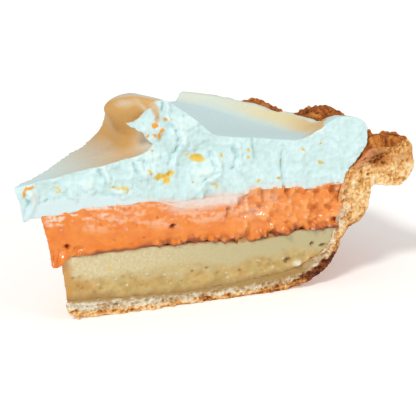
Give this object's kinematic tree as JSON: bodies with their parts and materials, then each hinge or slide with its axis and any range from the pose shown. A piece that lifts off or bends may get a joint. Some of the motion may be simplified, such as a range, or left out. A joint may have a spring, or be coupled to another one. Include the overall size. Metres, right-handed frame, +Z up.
{
  "type": "slice of layered cream pie",
  "caption": "Cut wedge of cream pie: pastry crust with a fluted rim, yellow and orange custard layers, and whipped cream with a curled peak.",
  "frame": {"origin": "bottom centre of the slice's box, on the surface it stands on", "axes": "+X along the near cut face, from the slice's point to the crust's rim; +Y from the near cut face into the slice; +Z up"},
  "size_m": [0.1256, 0.0834, 0.0639],
  "materials": {
    "crust": "baked, dry and crumbly",
    "yellow_custard": "moist, softly glossy",
    "orange_custard": "moist, glossy in spots",
    "whipped_cream": "soft satin"
  },
  "bodies": {
    "root": {"crust": "crust", "yellow_layer": "yellow_custard", "orange_layer": "orange_custard", "whipped_cream": "whipped_cream"}
  },
  "joints": []
}
